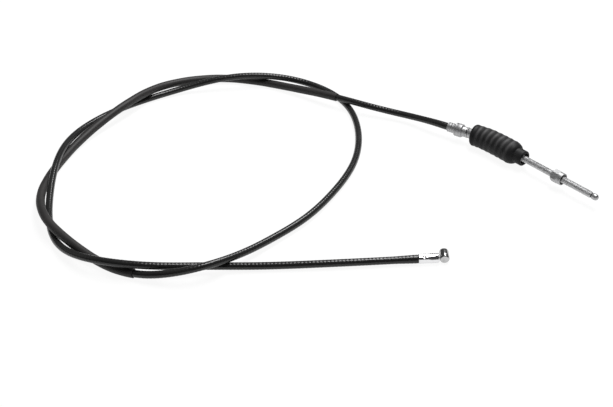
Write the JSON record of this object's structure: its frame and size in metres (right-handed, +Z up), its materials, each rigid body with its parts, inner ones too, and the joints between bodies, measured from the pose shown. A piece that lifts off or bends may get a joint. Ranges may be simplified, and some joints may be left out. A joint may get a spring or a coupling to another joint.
{
  "type": "brake cable",
  "caption": "Bowden brake cable in a black ribbed casing with a guard sleeve, a rubber boot, a threaded rod with an adjuster nut at one end and a barrel nipple at the other.",
  "frame": {"origin": "centre of the base of the box round the fittings at the two ends, on the surface the cable lies on", "axes": "+Z up from the surface, +Y along the nipple's barrel away from its near face, +X from the barrel's axis to the side it is pulled to, within 5 degrees of the lever ferrule's axis"},
  "size_m": [0.4782, 0.333, 0.0212],
  "materials": {
    "jacket_plastic": "semi-gloss black, fine ribs",
    "sleeve_plastic": "matte",
    "liner_plastic": "plain",
    "spiral_steel": "plain",
    "wire_steel": "stranded",
    "zinc": "dull zinc plate",
    "bright_steel": "bright",
    "chrome": "bright plate",
    "rubber": "soft sheen",
    "nylon": "plain"
  },
  "bodies": {
    "cable": {"casing_jacket": "jacket_plastic", "casing_spiral": "spiral_steel", "casing_liner": "liner_plastic", "guard_sleeve": "sleeve_plastic", "inner_wire": "wire_steel", "crimp_ferrule": "zinc", "stop_collar": "zinc", "clip_ring": "bright_steel", "boot": "rubber", "lever_ferrule": "chrome"},
    "rod": {"threaded_rod": "zinc", "rod_wire_end": "wire_steel"},
    "nut_carrier": {"nut_insert": "nylon"},
    "nut": {"adjuster_nut": "zinc"},
    "nipple": {"lever_nipple": "zinc", "lever_wire_end": "wire_steel"}
  },
  "joints": [
    {"name": "rod_slide", "type": "slide", "parent": "cable", "child": "rod", "axis": [-0.6428, 0.766, 0], "range_m": [0, 0.025], "deforming": ["boot"]},
    {"name": "nipple_pull", "type": "slide", "parent": "cable", "child": "nipple", "axis": [0.9962, 0.0872, 0], "range_m": [0, 0.025]},
    {"name": "nut_travel", "type": "slide", "parent": "rod", "child": "nut_carrier", "axis": [0.6428, -0.766, 0], "range_m": [-0.0205, 0.0205]},
    {"name": "nut_turn", "type": "hinge", "parent": "nut_carrier", "child": "nut", "pos_m": [0.05002, 0.01243, 0.0106], "axis": [0.6428, -0.766, 0], "range_deg": [-7200, 7200]}
  ],
  "couplings": [
    {"joint": "nipple_pull", "follows": "rod_slide", "ratio": 1},
    {"joint": "nut_travel", "follows": "nut_turn", "m_per_rad": 0.00015915}
  ]
}
